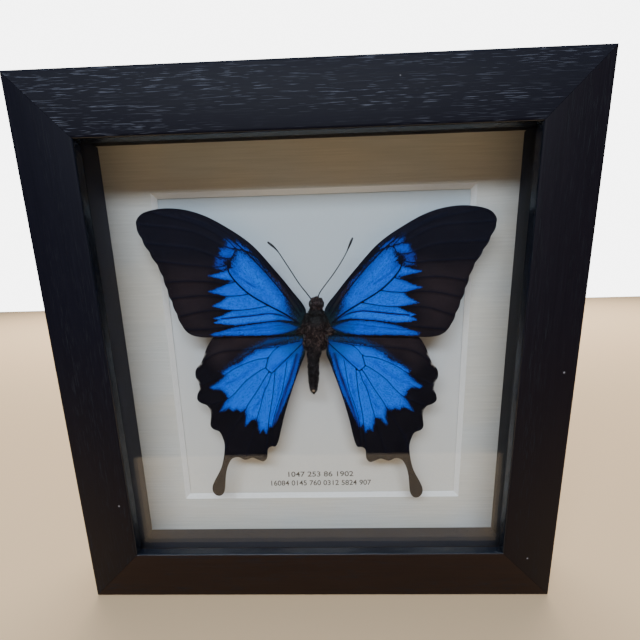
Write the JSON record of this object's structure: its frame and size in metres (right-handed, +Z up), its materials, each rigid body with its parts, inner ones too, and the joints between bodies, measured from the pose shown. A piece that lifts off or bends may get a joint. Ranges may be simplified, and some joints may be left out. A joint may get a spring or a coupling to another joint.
{
  "type": "framed butterfly specimen",
  "caption": "Blue and black swallowtail butterfly set with spread wings over a bevelled window mat, behind glass in a black stained open-grain wooden box frame.",
  "frame": {"origin": "middle of the underside, at the centre of the bounding box's bottom", "axes": "+Z up, +Y from the glass to the back, +X to the right seen from the front"},
  "size_m": [0.16, 0.0322, 0.165],
  "materials": {
    "stained_wood": "black stained open-grain wood, satin",
    "glazing": "clear float glass, polished",
    "spacer_strip": "matt black card-faced strip",
    "mat_board": "off-white mat board, fine laid tooth, white core at the bevel",
    "mount_card": "ivory mounting card, matt",
    "foam_block": "white closed-cell foam",
    "body_hair": "black-brown velvety hair with green scales",
    "wing_scales": "velvet black and satin blue wing scales",
    "feeler": "fine black horny stalk and club",
    "fibreboard": "brown hardboard, smooth",
    "bright_steel": "zinc plated pressed steel",
    "nail_brass": "brass plated nail heads"
  },
  "bodies": {
    "root": {"rail_top": "stained_wood", "rail_bottom": "stained_wood", "rail_left": "stained_wood", "rail_right": "stained_wood", "glass": "glazing", "spacer_top": "spacer_strip", "spacer_bottom": "spacer_strip", "spacer_left": "spacer_strip", "spacer_right": "spacer_strip", "window_mat": "mat_board", "mount_board": "mount_card", "mounting_block": "foam_block", "body": "body_hair", "forewing_left": "wing_scales", "hindwing_left": "wing_scales", "antenna_left": "feeler", "forewing_right": "wing_scales", "hindwing_right": "wing_scales", "antenna_right": "feeler", "back_board": "fibreboard", "tab_top_1": "bright_steel", "tab_top_2": "bright_steel", "tab_bottom_1": "bright_steel", "tab_bottom_2": "bright_steel", "tab_left_1": "bright_steel", "tab_left_2": "bright_steel", "tab_right_1": "bright_steel", "tab_right_2": "bright_steel", "hanger": "bright_steel", "hanger_nail_1": "nail_brass", "hanger_nail_2": "nail_brass"}
  },
  "joints": []
}
